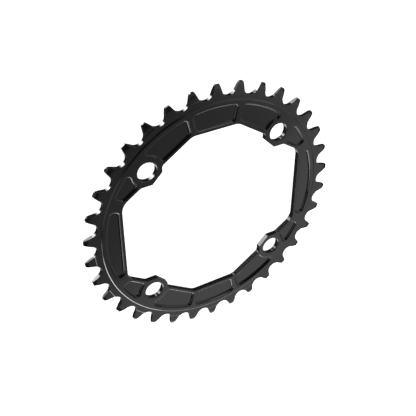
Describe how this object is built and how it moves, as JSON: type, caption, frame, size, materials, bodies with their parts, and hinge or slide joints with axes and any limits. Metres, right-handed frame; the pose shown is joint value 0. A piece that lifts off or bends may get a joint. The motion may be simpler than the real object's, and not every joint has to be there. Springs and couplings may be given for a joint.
{
  "type": "bicycle chainring",
  "caption": "Flat toothed ring with alternating wide and narrow teeth, pocketed front face and inward tabs with holes that bolt it to a crank spider.",
  "frame": {"origin": "centre of the bolt circle, on the back face of the tabs that seats on the crank spider", "axes": "+Z along the ring's axis, out of the pocketed front face; +X through the middle of a three-pocket side"},
  "size_m": [0.1432, 0.1431, 0.0028],
  "materials": {
    "black_anodised": "satin black anodised"
  },
  "bodies": {
    "root": {"chainring": "black_anodised"}
  },
  "joints": []
}
